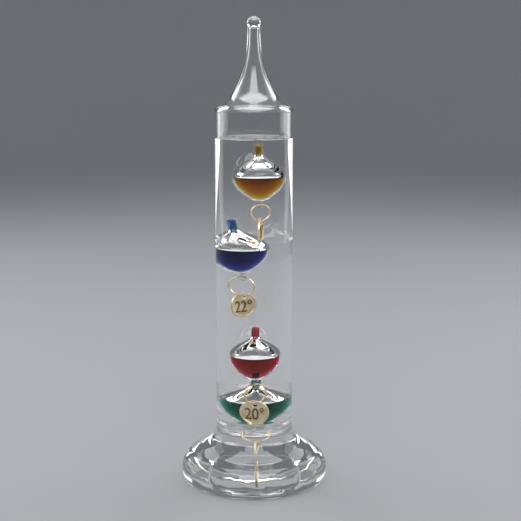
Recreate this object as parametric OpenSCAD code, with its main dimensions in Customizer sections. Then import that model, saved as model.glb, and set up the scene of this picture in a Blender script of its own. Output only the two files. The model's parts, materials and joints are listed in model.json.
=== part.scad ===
// Galileo thermometer: a sealed glass tube of clear liquid on a flared glass
// foot, with four dyed glass floats that each carry a brass ring and tag.
// Millimetres. +Z is up, the origin is the middle of the foot's underside,
// and -Y is the front.

/* [Tube] */
// Height of the tip of the spire above the table
total_h = 180; // [178:1:190]
// Outer radius of the straight tube
tube_r = 14.87; // [14.8:0.01:15.2]
// Thickness of the tube's wall
tube_wall = 1.37; // [1.2:0.01:1.4]
// Height at which the tube is fused to the foot
seam_z = 22; // [21:0.5:23]
// Height of the surface of the clear liquid
liquid_z = 134.2; // [133.5:0.1:138]

/* [Foot] */
// Largest radius of the flared foot
foot_r = 28.7; // [27.5:0.1:32]
// Height of the floor inside the foot's cup
floor_z = 4.5; // [3:0.1:4.5]
// Depth of the shallow hollow under the foot
hollow_depth = 0.5; // [0.2:0.1:1]

/* [Floats] */
// Radius of a float's bulb at its widest
bulb_r = 8.2; // [7.8:0.1:8.2]
// Thickness of a float's blown glass
bulb_wall = 0.35; // [0.3:0.05:0.5]
// Outer radius of a float's neck
neck_r = 1.5; // [1.4:0.05:1.6]
// Radius of the bore that the seal closes
neck_bore_r = 1.15; // [1:0.05:1.15]

/* [Rings and tags] */
// Thickness of the brass wire that a ring is bent from
wire_d = 0.56; // [0.4:0.02:0.6]
// Diameter of a tag
tag_d = 9.6; // [9:0.1:9.8]
// Thickness of a tag's field, inside its raised rim
tag_t = 0.45; // [0.4:0.05:0.5]
// Radius of the hole that a ring passes through
hole_r = 0.9; // [0.85:0.05:0.95]

/* [Hidden] */
$fn = 96;

// How finely each curve of an outline is divided
curve_steps = 8;
// Gap that keeps two solids of one body from sharing a face
skin = 0.02;
// Room that the liquid leaves round each float, ring and tag
clear = 0.15;
// Larger than anything that a cut has to reach
far = 60;

bore_r = tube_r - tube_wall;

// Places on a float's own axis, above (+) or below (-) its widest circle
bulb_foot = -8.9;
neck_foot = 8.4;
neck_top = 12.6;
eye_z = -10.1;
eye_major = 1.05;
eye_minor = 0.45;
// The ring's wire lies this far below the middle of the eye
wire_drop = 0.15;
seal_gap = 0.3;

// A tag's raised rim and the collar round its hole
rim_w = 0.5;
rim_t = tag_t + 0.25;
collar_w = 0.35;
collar_t = tag_t + 0.2;
// From a tag's edge to the middle of its hole
hole_inset = 1.65;
// From the middle of a tag's hole up to the wire that it hangs on
hang = hole_r - wire_d / 2 - 0.2;
// Part of a turn that is missing where a ring's wire ends meet
ring_gap_deg = 3;

// One float a row: x, y and z of its widest circle, its lean about X and
// about Y, how far its dye stands above the widest circle, its ring's
// outer diameter, yaw and lean, and its tag's yaw
YELLOW = [1.6, -3.7, 120.4, -3, -1.7, -0.4, 6.8, 28, 0, 86];
BLUE = [-4.2, 2.5, 91.6, 0, -7, 0.2, 8.0, -36, 0, 44];
RED = [0.3, -3.8, 50.4, -4.6, 0.5, 0.3, 8.4, 35, 0, -18];
GREEN = [0.2, 4.85, 29.6, 0, 1, 1.4, 7.4, 10, -28, 86];

function place(f) = [f[0], f[1], f[2]];
function lean(f) = [f[3], f[4], 0];
function ring_r(f) = (f[6] - wire_d) / 2;

// Where a point on the float's own axis, h above its widest circle, stands
function on_axis(f, h) = place(f) + h * [
  cos(f[3]) * sin(f[4]),
  -sin(f[3]),
  cos(f[3]) * cos(f[4])
];

// The middle of the wire inside the eye, and at the foot of the ring
function ring_top(f) = on_axis(f, eye_z) - [0, 0, wire_drop];
function ring_down(f) = [
  -sin(f[8]) * sin(f[7]),
  sin(f[8]) * cos(f[7]),
  -cos(f[8])
];
function ring_mid(f) = ring_top(f) + ring_r(f) * ring_down(f);
function ring_foot(f) = ring_top(f) + 2 * ring_r(f) * ring_down(f);
function hole_mid(f) = ring_foot(f) - [0, 0, hang];
function tag_mid(f) = hole_mid(f) - [0, 0, tag_d / 2 - hole_inset];

// A cubic curve from p[0] to p[3], without its last point
function curve(p) = [
  for (i = [0:curve_steps - 1])
    let (t = i / curve_steps, u = 1 - t)
      u * u * u * p[0] + 3 * u * u * t * p[1] + 3 * u * t * t * p[2] + t * t * t * p[3]
];

// Part of a circle round c, from angle a to angle b
function arc(c, r, a, b) = [
  for (i = [0:curve_steps])
    let (w = a + (b - a) * i / curve_steps)
      c + r * [cos(w), sin(w)]
];

function reversed(p) = [for (i = [len(p) - 1:-1:0]) p[i]];

// Outline of the outside of a tube's top, from the wall up to the tip
shoulder_z = total_h - 35.1;
tip_r = 2.6;
stem_r = 2.35;
tip_mid = [0, total_h - tip_r];
tip_start = -acos(stem_r / tip_r);
function up(r, h) = [r, shoulder_z + h];
OUTER_TOP = concat(
  curve([up(tube_r, 0), up(tube_r, 1.7), up(13.7, 2.4), up(11.9, 3.4)]),
  curve([up(11.9, 3.4), up(8.6, 5.3), up(8.2, 6.6), up(7, 9.1)]),
  curve([up(7, 9.1), up(4.9, 13.1), up(2.9, 18.1), up(2.5, 27.1)]),
  [up(2.5, 27.1), up(stem_r, 30.5)],
  arc(tip_mid, tip_r, tip_start, 90)
);
// Outline of the space inside it, from the wall up to the axis
INNER_TOP = concat(
  curve([up(bore_r, -0.5), up(bore_r, 0.7), up(12.7, 1.2), up(11.2, 2.05)]),
  curve([up(11.2, 2.05), up(7.9, 4), up(7.2, 5.3), up(5.9, 8.1)]),
  curve([up(5.9, 8.1), up(3.85, 12.4), up(1.75, 18.1), up(1.45, 27.1)]),
  [up(1.45, 27.1)],
  arc(up(0, 30.3), 1.4, 0, 90)
);

// The foot's outside, from the fused seam out over the rim to its underside
ground_r = foot_r - 2.1;
OUTER_FOOT = concat(
  curve([[tube_r, seam_z], [tube_r + 0.23, 17.9], [18.2, 13.6], [foot_r - 4.3, 11.5]]),
  curve([[foot_r - 4.3, 11.5], [foot_r - 2.3, 10.8], [foot_r, 7.8], [foot_r, 4.4]]),
  curve([[foot_r, 4.4], [foot_r, 2.4], [foot_r - 0.6, 0.6], [ground_r, 0]]),
  [[ground_r, 0], [ground_r - 4.5, 0], [ground_r - 6, hollow_depth], [0, hollow_depth]]
);
cup_round = 2.5;
cup_corner = [bore_r - cup_round, floor_z + cup_round];

// Half of a bulb's outside: its bowl from the lowest point, then its dome
function scaled(p) = [for (q = p) [q[0] * bulb_r / 8.2, q[1]]];
BULB = concat(
  scaled(curve([[0, bulb_foot], [1.5, -8.8], [2.9, -8.2], [4.4, -6.9]])),
  scaled(curve([[4.4, -6.9], [6.4, -5.1], [8.2, -2.9], [8.2, 0]])),
  scaled(curve([[8.2, 0], [8.2, 2.3], [6.9, 3.9], [4.9, 5.5]])),
  curve([[4.9 * bulb_r / 8.2, 5.5], [3.4, 6.7], [neck_r + 0.5, 7.3], [neck_r, neck_foot]])
);

// The same outline moved inwards by t, square to itself
function inwards(p, t) = [
  for (i = [1:len(p) - 1])
    let (
      d = p[min(i + 1, len(p) - 1)] - p[i - 1],
      n = [-d[1], d[0]] / norm(d),
      q = p[i] + t * n
    )
      if (q[0] > neck_bore_r) q
];

// The space inside a bulb, t away from its outside
function hollow(t) = concat([[0, bulb_foot + t]], inwards(BULB, t));

module lathe(points) {
  rotate_extrude() polygon(points);
}

module at_float(f) {
  translate(place(f)) rotate(lean(f)) children();
}

module glass_foot() {
  cup = concat(
    [[0, floor_z]],
    arc(cup_corner, cup_round, -90, 0),
    [[bore_r, seam_z]]
  );
  color([0.86, 0.92, 0.92, 0.5]) lathe(concat(OUTER_FOOT, cup));
}

module glass_tube() {
  color([0.86, 0.92, 0.92, 0.35])
    lathe(concat([[tube_r, seam_z]], OUTER_TOP, reversed(INNER_TOP), [[bore_r, seam_z]]));
}

// Room for a float: its bulb, its eye, its ring and its tag
module float_room(f) {
  at_float(f) lathe([
    [0, -12], [2, -12], [2, -9.6], [5.2, -7.6], [7.6, -5], [bulb_r + clear, -2.4],
    [bulb_r + clear, 1.2], [7.4, 4], [4.9, 6.4], [2, 8.6], [2, neck_top + clear],
    [0, neck_top + clear]
  ]);
  translate([ring_mid(f)[0], ring_mid(f)[1], ring_foot(f)[2] - 2 * clear])
    cylinder(r = f[6] / 2 + clear, h = ring_top(f)[2] - ring_foot(f)[2] + 4 * clear);
  translate(tag_mid(f) - [0, 0, tag_d / 2 + clear])
    cylinder(d = tag_d + 2 * clear, h = tag_d + 2 * clear);
}

module filling_liquid() {
  r = bore_r - skin;
  z = floor_z + skin;
  color([0.8, 0.9, 0.95, 0.25]) difference() {
    lathe(concat(
      [[0, z]],
      arc([r - cup_round, z + cup_round], cup_round, -90, 0),
      [[r, liquid_z], [0, liquid_z]]
    ));
    float_room(YELLOW);
    float_room(BLUE);
    float_room(RED);
    float_room(GREEN);
  }
}

// Blown glass bulb with an open neck on top and a glass eye underneath
module bulb(f) {
  color([0.88, 0.93, 0.94, 0.4]) at_float(f) {
    difference() {
      lathe(concat(BULB, [[neck_r, neck_foot], [neck_r, neck_top], [0, neck_top]]));
      lathe(concat(hollow(bulb_wall), [[neck_bore_r, neck_foot], [0, neck_foot]]));
      translate([0, 0, neck_foot - 1]) cylinder(r = neck_bore_r, h = far);
    }
    translate([0, 0, bulb_foot - 0.4]) cylinder(r1 = 0.55, r2 = 1.2, h = 0.7);
    translate([0, 0, eye_z]) rotate([0, 90, f[7]]) torus(eye_major, eye_minor, 360);
  }
}

// Dyed liquid in the lower half of a bulb, level however the bulb leans
module dye(f, tint) {
  color(tint) intersection() {
    at_float(f) lathe(concat(
      hollow(bulb_wall + skin), [[neck_bore_r, neck_foot - 1], [0, neck_foot - 1]]
    ));
    translate([f[0] - far, f[1] - far, f[2] + f[5] - far]) cube([2 * far, 2 * far, far]);
  }
}

// Coloured plug that closes the bore of a float's neck
module seal(f, tint) {
  color(tint) at_float(f) translate([0, 0, neck_foot])
    cylinder(r = neck_bore_r - skin, h = neck_top - seal_gap - neck_foot);
}

module torus(major, minor, turn) {
  rotate_extrude(angle = turn) translate([major, 0]) circle(r = minor, $fn = 32);
}

// Open jump ring of brass wire that hangs in the float's eye
module ring(f) {
  color([0.80, 0.68, 0.38]) translate(ring_mid(f)) rotate([0, 0, f[7]])
    rotate([90 + f[8], 0, 0]) rotate([0, 0, ring_gap_deg / 2])
      torus(ring_r(f), wire_d / 2, 360 - ring_gap_deg);
}

// Stamped brass tag with a raised rim and a collar round its hole
module tag(f) {
  r = tag_d / 2;
  drop = tag_mid(f) - hole_mid(f);
  color([0.78, 0.66, 0.36]) translate(tag_mid(f)) rotate([90, 0, f[9]]) difference() {
    union() {
      cylinder(r = r - rim_w / 2, h = tag_t, center = true);
      difference() {
        cylinder(r = r, h = rim_t, center = true);
        cylinder(r = r - rim_w, h = 2 * rim_t, center = true);
      }
      translate([0, -drop[2], 0])
        cylinder(r = hole_r + collar_w, h = collar_t, center = true);
    }
    translate([0, -drop[2], 0]) cylinder(r = hole_r, h = 4 * rim_t, center = true);
  }
}

AMBER = [0.60, 0.35, 0.05, 0.85];
NAVY = [0.02, 0.06, 0.50, 0.9];
RUBY = [0.50, 0.04, 0.07, 0.9];
EMERALD = [0, 0.30, 0.22, 0.9];

glass_foot();
glass_tube();
filling_liquid();
bulb(YELLOW);  // yellow_bulb
dye(YELLOW, AMBER);  // yellow_dye
seal(YELLOW, AMBER);  // yellow_seal
ring(YELLOW);  // yellow_ring
tag(YELLOW);  // yellow_tag
bulb(BLUE);  // blue_bulb
dye(BLUE, NAVY);  // blue_dye
seal(BLUE, NAVY);  // blue_seal
ring(BLUE);  // blue_ring
tag(BLUE);  // blue_tag
bulb(RED);  // red_bulb
dye(RED, RUBY);  // red_dye
seal(RED, RUBY);  // red_seal
ring(RED);  // red_ring
tag(RED);  // red_tag
bulb(GREEN);  // green_bulb
dye(GREEN, EMERALD);  // green_dye
seal(GREEN, EMERALD);  // green_seal
ring(GREEN);  // green_ring
tag(GREEN);  // green_tag
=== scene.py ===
"""Galileo thermometer: the looks of a sealed glass tube, its clear filling and its four dyed floats."""

import json
import logging
import math
from dataclasses import dataclass, field
from enum import Enum
from typing import Any, Iterable, Sequence

import bmesh
import bpy
from mathutils import Matrix, Vector

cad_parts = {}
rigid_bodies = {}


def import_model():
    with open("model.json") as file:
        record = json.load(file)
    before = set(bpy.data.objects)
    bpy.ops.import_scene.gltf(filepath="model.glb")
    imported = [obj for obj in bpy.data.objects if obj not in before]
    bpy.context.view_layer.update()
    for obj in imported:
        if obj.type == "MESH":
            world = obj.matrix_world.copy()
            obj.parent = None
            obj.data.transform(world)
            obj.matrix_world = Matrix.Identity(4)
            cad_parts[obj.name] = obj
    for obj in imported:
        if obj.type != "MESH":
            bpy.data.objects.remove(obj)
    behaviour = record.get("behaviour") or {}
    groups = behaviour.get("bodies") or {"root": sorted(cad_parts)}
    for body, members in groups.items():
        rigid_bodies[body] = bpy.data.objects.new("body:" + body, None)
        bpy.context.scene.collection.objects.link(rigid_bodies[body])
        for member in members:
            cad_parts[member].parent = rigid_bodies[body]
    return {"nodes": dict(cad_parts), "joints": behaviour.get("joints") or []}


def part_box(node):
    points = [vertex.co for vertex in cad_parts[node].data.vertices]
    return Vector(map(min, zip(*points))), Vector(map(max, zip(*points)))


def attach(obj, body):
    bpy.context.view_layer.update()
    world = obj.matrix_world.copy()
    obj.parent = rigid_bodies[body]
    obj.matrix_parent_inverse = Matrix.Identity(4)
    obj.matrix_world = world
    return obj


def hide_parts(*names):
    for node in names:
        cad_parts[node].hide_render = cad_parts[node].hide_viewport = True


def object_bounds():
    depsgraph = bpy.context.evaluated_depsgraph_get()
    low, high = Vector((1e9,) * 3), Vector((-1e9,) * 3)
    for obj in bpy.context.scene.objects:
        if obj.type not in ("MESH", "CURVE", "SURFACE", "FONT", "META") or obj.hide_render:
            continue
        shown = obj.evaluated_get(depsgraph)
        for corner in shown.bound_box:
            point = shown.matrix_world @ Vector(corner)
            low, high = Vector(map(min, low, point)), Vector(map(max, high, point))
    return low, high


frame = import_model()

LOG = logging.getLogger("galileo")
MM = 0.001
BOUNDS_AT_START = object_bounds()
Point = tuple[float, float]

# Refractive indices against air
GLASS_IOR = 1.50
FILLING_IOR = 1.43
DYE_IOR = 1.37

# How many faces go round each turned piece
BODY_SEGMENTS = 160
FILLING_SEGMENTS = 128
BULB_SEGMENTS = 96
SMALL_SEGMENTS = 40
TAG_SEGMENTS = 120
HOLE_SEGMENTS = 64
FLOOR_SEGMENTS = 128

# How bent wire is divided, and how late its spring sets in towards the ends
WIRE_STEPS = 110
WIRE_SIDES = 18
SPRING_POWER = 7.0

# Points closer than this are one, in metres, and so is what lies this close to a cut
WELD = 0.002 * MM
CUT_TOLERANCE = 1e-7

# The least angle of a tag's real corner, in degrees
TAG_CORNER = 30.0

# The ripples that fusing left on the tube: height over the seam, width and depth, in millimetres
FUSING_RIPPLES = ((1.2, 0.45, 0.16), (3.9, 0.5, 0.12))


class Zone(Enum):
    """What lies on the far side of a glass piece's surface, so that each boundary bends light just once."""

    AIR = 0
    FILLING = 1
    DYE = 2
    FUSED = 3


class LiquidZone(Enum):
    """Which part of the filling's surface a face belongs to."""

    WALL = 0
    OPEN = 1


class Tint(Enum):
    """The colours of the four floats, highest float first."""

    YELLOW = "yellow"
    BLUE = "blue"
    RED = "red"
    GREEN = "green"


class Working(Enum):
    """How a brass piece was made."""

    DRAWN = "drawn"
    STAMPED = "stamped"


# The marks that each working leaves: how far apart they are, in millimetres, and their detail
BRASS_GRAIN = {Working.DRAWN: (0.15, 1.0), Working.STAMPED: (0.35, 2.0)}


# ---------------------------------------------------------------- nodes and colours


def add(
    tree: bpy.types.NodeTree, kind: str, inputs: dict[Any, Any] | None = None, **settings: Any
) -> bpy.types.Node:
    """Adds a node with its settings, values and links.

    Args:
        tree: The tree that the node goes in.
        kind: The node's type name.
        inputs: What each input gets, by the input's name or number. It is a value, or another node's
            output to link.
        settings: The node's own properties.

    Returns:
        The new node.
    """
    node = tree.nodes.new(kind)
    for name, value in settings.items():
        setattr(node, name, value)
    for name, value in (inputs or {}).items():
        if isinstance(value, bpy.types.NodeSocket):
            tree.links.new(value, node.inputs[name])
        else:
            node.inputs[name].default_value = value
    return node


def maths(tree: bpy.types.NodeTree, operation: str, a: Any, b: Any = 0.0) -> bpy.types.NodeSocket:
    """Adds a sum to a tree.

    Args:
        tree: The tree.
        operation: What it does.
        a: Its first value or link.
        b: Its second value or link.

    Returns:
        The result.
    """
    return add(tree, "ShaderNodeMath", {0: a, 1: b}, operation=operation).outputs[0]


def linear(hex_colour: str) -> tuple[float, float, float, float]:
    """Turns an sRGB colour into the linear one that shaders use.

    Args:
        hex_colour: The colour as "#rrggbb".

    Returns:
        Red, green, blue, and an alpha of 1.
    """
    parts = [int(hex_colour[i : i + 2], 16) / 255 for i in (1, 3, 5)]
    r, g, b = (c / 12.92 if c <= 0.04045 else ((c + 0.055) / 1.055) ** 2.4 for c in parts)
    return r, g, b, 1.0


def new_material(name: str) -> tuple[bpy.types.Material, bpy.types.NodeTree]:
    """Makes an empty node material.

    Args:
        name: The material's name.

    Returns:
        The material and its node tree.
    """
    material = bpy.data.materials.new(name)
    material.use_nodes = True
    material.node_tree.nodes.clear()
    return material, material.node_tree


def noise(
    tree: bpy.types.NodeTree, size_mm: float, detail: float, stretch: float = 1.0
) -> bpy.types.NodeSocket:
    """Adds a noise pattern in the piece's own millimetres.

    Args:
        tree: The material's tree.
        size_mm: How far apart its patches are.
        detail: How much finer noise it carries.
        stretch: How much longer than wide its patches are, along Z.

    Returns:
        The pattern, from 0 to 1.
    """
    place = add(tree, "ShaderNodeTexCoord")
    pulled = add(
        tree, "ShaderNodeMapping", {"Vector": place.outputs["Object"], "Scale": (1, 1, 1 / stretch)}
    )
    scale = 1 / (size_mm * MM)
    pattern = add(
        tree, "ShaderNodeTexNoise", {"Vector": pulled.outputs["Vector"], "Scale": scale, "Detail": detail}
    )
    return pattern.outputs[0]


def bump(
    tree: bpy.types.NodeTree, pattern: bpy.types.NodeSocket, height_mm: float
) -> bpy.types.NodeSocket:
    """Adds the slopes that a pattern gives a surface.

    Args:
        tree: The material's tree.
        pattern: The pattern, from 0 to 1.
        height_mm: How high it stands.

    Returns:
        The surface's normal.
    """
    slopes = add(tree, "ShaderNodeBump", {"Height": pattern, "Strength": 1.0, "Distance": height_mm * MM})
    return slopes.outputs["Normal"]


def blend(
    tree: bpy.types.NodeTree, pattern: bpy.types.NodeSocket, low: str, high: str, start: float, end: float
) -> bpy.types.NodeSocket:
    """Adds a soft change from one colour to another where a pattern rises.

    Args:
        tree: The material's tree.
        pattern: The pattern, from 0 to 1.
        low: The colour where the pattern is low.
        high: The colour where it is high.
        start: Where the change starts.
        end: Where it ends.

    Returns:
        The colour.
    """
    ramp = add(tree, "ShaderNodeValToRGB", {0: pattern})
    for element, place, colour in zip(ramp.color_ramp.elements, (start, end), (low, high)):
        element.position = place
        element.color = linear(colour)
    return ramp.outputs[0]


# ---------------------------------------------------------------- finishes


@dataclass(frozen=True)
class ClearGlass:
    """Colourless drawn or blown glass, fire polished, with the long soft waves that drawing leaves."""

    name: str
    ior: float
    wave_mm: float = 7.0
    wave_height_mm: float = 0.006
    stretch: float = 2.5

    def build(self) -> bpy.types.Material:
        """Makes the material. Lamps reach what is behind the glass.

        Returns:
            The material.
        """
        material, tree = new_material(self.name)
        waves = noise(tree, self.wave_mm, 1.0, self.stretch)
        normal = bump(tree, waves, self.wave_height_mm)
        glass = add(
            tree,
            "ShaderNodeBsdfGlass",
            {"Color": linear("#ffffff"), "Roughness": 0.0, "IOR": self.ior, "Normal": normal},
        )
        clear = add(tree, "ShaderNodeBsdfTransparent")
        rays = add(tree, "ShaderNodeLightPath")
        surface = add(
            tree,
            "ShaderNodeMixShader",
            {0: rays.outputs["Is Shadow Ray"], 1: glass.outputs["BSDF"], 2: clear.outputs["BSDF"]},
        )
        add(tree, "ShaderNodeOutputMaterial", {"Surface": surface.outputs["Shader"]})
        return material


@dataclass(frozen=True)
class PassThrough:
    """A boundary that doesn't show: glasses fused together, or a liquid against the wall it wets."""

    name: str

    def build(self) -> bpy.types.Material:
        """Makes the material.

        Returns:
            The material.
        """
        material, tree = new_material(self.name)
        clear = add(tree, "ShaderNodeBsdfTransparent")
        add(tree, "ShaderNodeOutputMaterial", {"Surface": clear.outputs["BSDF"]})
        return material


@dataclass(frozen=True)
class DyedLiquid:
    """Dyed spirit, deeper in colour the more of it light has crossed. Only its open top bends light."""

    name: str
    through_a_bulb: str
    depth_mm: float = 11.0
    ripple_mm: float = 1.2
    ripple_height_mm: float = 0.08
    least_seen: float = 1e-4

    def build(self) -> bpy.types.Material:
        """Makes the material, with the absorption that gives its colour at a bulb's depth.

        Returns:
            The material.
        """
        material, tree = new_material(self.name)
        top = add(tree, "ShaderNodeAttribute", attribute_name="open_surface")
        rays = add(tree, "ShaderNodeLightPath")
        bends = add(
            tree,
            "ShaderNodeMath",
            {0: top.outputs["Fac"], 1: rays.outputs["Is Shadow Ray"]},
            operation="SUBTRACT",
            use_clamp=True,
        )
        clear = add(tree, "ShaderNodeBsdfTransparent")
        ripples = noise(tree, self.ripple_mm, 1.0)
        normal = bump(tree, ripples, self.ripple_height_mm)
        open_top = add(tree, "ShaderNodeBsdfGlass", {"Roughness": 0.0, "IOR": DYE_IOR, "Normal": normal})
        surface = add(
            tree,
            "ShaderNodeMixShader",
            {0: bends.outputs[0], 1: clear.outputs["BSDF"], 2: open_top.outputs["BSDF"]},
        )
        through = linear(self.through_a_bulb)[:3]
        lost = [-math.log(max(c, self.least_seen)) / (self.depth_mm * MM) for c in through]
        density = max(lost)
        colour = (*(1 - c / density for c in lost), 1.0)
        inside = add(tree, "ShaderNodeVolumeAbsorption", {"Color": colour, "Density": density})
        add(
            tree,
            "ShaderNodeOutputMaterial",
            {"Surface": surface.outputs["Shader"], "Volume": inside.outputs["Volume"]},
        )
        return material


@dataclass(frozen=True)
class SealResin:
    """Dyed sealing resin, cloudy where it was drawn into the neck."""

    name: str
    colour: str
    dark: str

    def build(self) -> bpy.types.Material:
        """Makes the material.

        Returns:
            The material.
        """
        material, tree = new_material(self.name)
        tone = blend(tree, noise(tree, 1.1, 3.0, 1.6), self.dark, self.colour, 0.35, 0.62)
        resin = add(
            tree,
            "ShaderNodeBsdfPrincipled",
            {"Base Color": tone, "Roughness": 0.15, "IOR": 1.45, "Transmission Weight": 0.75},
        )
        add(tree, "ShaderNodeOutputMaterial", {"Surface": resin.outputs["BSDF"]})
        return material


@dataclass(frozen=True)
class Brass:
    """Yellow brass: bright where it was worked, with a thin brown bloom in patches."""

    name: str
    working: Working
    bright: str = "#f0e4c2"
    bloom: str = "#d6c292"
    roughness: float = 0.34
    bloom_dulls: float = 0.1
    bright_shines: float = 0.06
    patch_mm: float = 3.2
    grain_height_mm: float = 0.0025

    def build(self) -> bpy.types.Material:
        """Makes the material, with its bloom and its fine working marks.

        Returns:
            The material.
        """
        material, tree = new_material(self.name)
        patches = noise(tree, self.patch_mm, 2.0)
        tone = blend(tree, patches, self.bloom, self.bright, 0.36, 0.62)
        rough = add(
            tree,
            "ShaderNodeMapRange",
            {
                "Value": patches,
                "To Min": self.roughness + self.bloom_dulls,
                "To Max": self.roughness - self.bright_shines,
            },
        )
        normal = bump(tree, noise(tree, *BRASS_GRAIN[self.working]), self.grain_height_mm)
        metal = add(
            tree,
            "ShaderNodeBsdfPrincipled",
            {
                "Base Color": tone,
                "Metallic": 1.0,
                "Roughness": rough.outputs[0],
                "Normal": normal,
            },
        )
        add(tree, "ShaderNodeOutputMaterial", {"Surface": metal.outputs["BSDF"]})
        return material


@dataclass(frozen=True)
class PaintedBoard:
    """Matt painted board for the studio's floor and backdrop."""

    name: str
    colour: str
    roughness: float = 0.85

    def build(self) -> bpy.types.Material:
        """Makes the material.

        Returns:
            The material.
        """
        material, tree = new_material(self.name)
        base = linear(self.colour)
        paint = add(tree, "ShaderNodeBsdfPrincipled", {"Base Color": base, "Roughness": self.roughness})
        add(tree, "ShaderNodeOutputMaterial", {"Surface": paint.outputs["BSDF"]})
        return material


# ---------------------------------------------------------------- outlines


def curve(a: Point, b: Point, c: Point, d: Point, steps: int = 14) -> list[Point]:
    """Points along a cubic curve, without its last one.

    Args:
        a: Where the curve starts.
        b: What it leaves towards.
        c: What it arrives from.
        d: Where it ends.
        steps: How many parts it is divided into.

    Returns:
        The points, in millimetres.
    """
    points = []
    for i in range(steps):
        t = i / steps
        u = 1 - t
        shares = (u * u * u, 3 * u * u * t, 3 * u * t * t, t * t * t)
        x, y = (sum(k * p[n] for k, p in zip(shares, (a, b, c, d))) for n in (0, 1))
        points.append((x, y))
    return points


def arc(middle: Point, radius: float, start: float, end: float, steps: int = 12) -> list[Point]:
    """Points along part of a circle, with its last one.

    Args:
        middle: The circle's middle.
        radius: Its radius.
        start: The angle it starts at, in degrees.
        end: The angle it ends at, in degrees.
        steps: How many parts it is divided into.

    Returns:
        The points, in millimetres.
    """
    angles = [math.radians(start + (end - start) * i / steps) for i in range(steps + 1)]
    return [(middle[0] + radius * math.cos(w), middle[1] + radius * math.sin(w)) for w in angles]


def line(a: Point, b: Point, steps: int) -> list[Point]:
    """Points along a straight line, without its last one.

    Args:
        a: Where it starts.
        b: Where it ends.
        steps: How many parts it is divided into.

    Returns:
        The points, in millimetres.
    """
    return [(a[0] + (b[0] - a[0]) * i / steps, a[1] + (b[1] - a[1]) * i / steps) for i in range(steps)]


def inwards(points: Sequence[Point], depth: float, least: float) -> list[Point]:
    """Moves an outline in by the thickness of a wall, square to itself.

    Args:
        points: The outside, from the bottom up.
        depth: The wall's thickness.
        least: The smallest radius that is kept.

    Returns:
        The inside, from the bottom up, without its point on the axis.
    """
    moved = []
    for before, here, after in zip(points, points[1:], [*points[2:], points[-1]]):
        along = Vector(after) - Vector(before)
        inside = Vector(here) + Vector((-along.y, along.x)).normalized() * depth
        if inside.x > least:
            moved.append((inside.x, inside.y))
    return moved


@dataclass
class Outline:
    """Half of a turned shape, from axis to axis, with the zone that each stretch of its surface is in."""

    points: list[Point] = field(default_factory=list)
    zones: list[int] = field(default_factory=list)

    def run(self, points: Iterable[Point], zone: Enum | None = None) -> "Outline":
        """Adds a stretch of surface.

        Args:
            points: Its points, in millimetres.
            zone: The zone it is in, or nothing for a shape of one zone.

        Returns:
            The outline itself.
        """
        for p in points:
            self.points.append(p)
            self.zones.append(zone.value if zone else 0)
        return self


# ---------------------------------------------------------------- tools


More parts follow.
